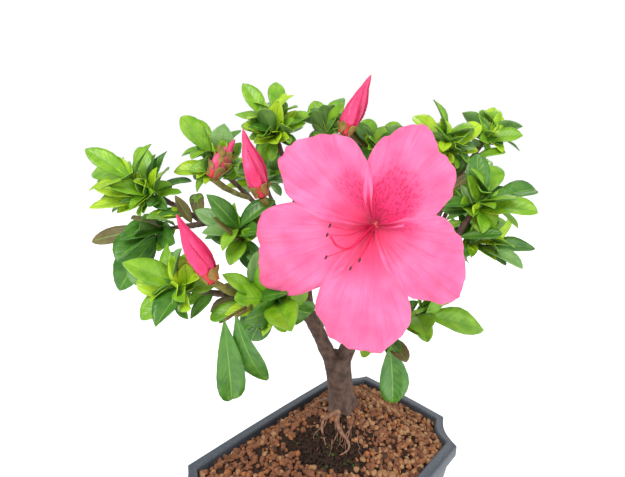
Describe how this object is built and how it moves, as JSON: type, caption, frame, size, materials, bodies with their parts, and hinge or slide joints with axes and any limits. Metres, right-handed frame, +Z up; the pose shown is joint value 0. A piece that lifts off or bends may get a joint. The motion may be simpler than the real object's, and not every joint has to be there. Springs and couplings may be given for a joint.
{
  "type": "azalea bonsai in pot",
  "caption": "Young azalea bonsai with a short forked trunk, rosettes of leaves, one wide open bloom and closed buds, in a rectangular training pot with notched corners.",
  "frame": {"origin": "middle of the pot's flat underside", "axes": "+Z up, -Y towards the plant's best side, +X to the right seen from there"},
  "size_m": [0.2607, 0.2194, 0.2713],
  "materials": {
    "pot_plastic": "moulded slate-grey plastic, matte with a soft sheen",
    "clay_granules": "baked clay granules, dry and rough",
    "bark": "thin grey-brown bark, rough",
    "green_stalk": "young green-brown shoot, slightly waxy",
    "leaves": "leathery leaves with a soft gloss",
    "petals": "thin crinkled petal, satin",
    "bud_petals": "folded petals, satin"
  },
  "bodies": {
    "root": {"pot": "pot_plastic", "soil": "clay_granules", "trunk": "bark", "bloom": "petals", "bud_left": "bud_petals", "bud_upper_left": "bud_petals", "bud_top": "bud_petals", "bud_back": "bud_petals", "hanging_left": "leaves", "hanging_right": "leaves", "crown_left": "leaves", "crown_left_under": "leaves", "crown_left_low": "leaves", "crown_mid_left": "leaves", "crown_low_mid": "leaves", "crown_top_left": "leaves", "crown_top": "leaves", "crown_top_back": "leaves", "crown_top_mid": "leaves", "crown_right_top": "leaves", "crown_right_tip": "leaves", "crown_right": "leaves", "crown_right_mid": "leaves", "crown_right_low": "leaves", "crown_heart": "leaves", "crown_back": "leaves", "crown_back_left": "leaves", "crown_back_right": "leaves", "crown_back_low": "leaves", "limb_left": "bark", "limb_right": "bark", "bough_left_low": "bark", "bough_left": "bark", "bough_left_mid": "bark", "bough_left_under": "bark", "bough_low_mid": "bark", "bough_hanging_left": "bark", "bough_top_left": "bark", "bough_top": "bark", "bough_top_back": "bark", "bough_heart": "bark", "bough_top_mid": "bark", "bough_right": "bark", "bough_right_mid": "bark", "bough_right_low": "bark", "bough_right_top": "bark", "bough_right_tip": "bark", "bough_hanging_right": "bark", "bough_back": "bark", "bough_back_left": "bark", "bough_back_right": "bark", "bough_back_low": "bark", "stalk_bloom": "green_stalk", "stalk_left": "green_stalk", "stalk_upper_left": "green_stalk", "stalk_top": "green_stalk", "stalk_back": "green_stalk"}
  },
  "joints": []
}
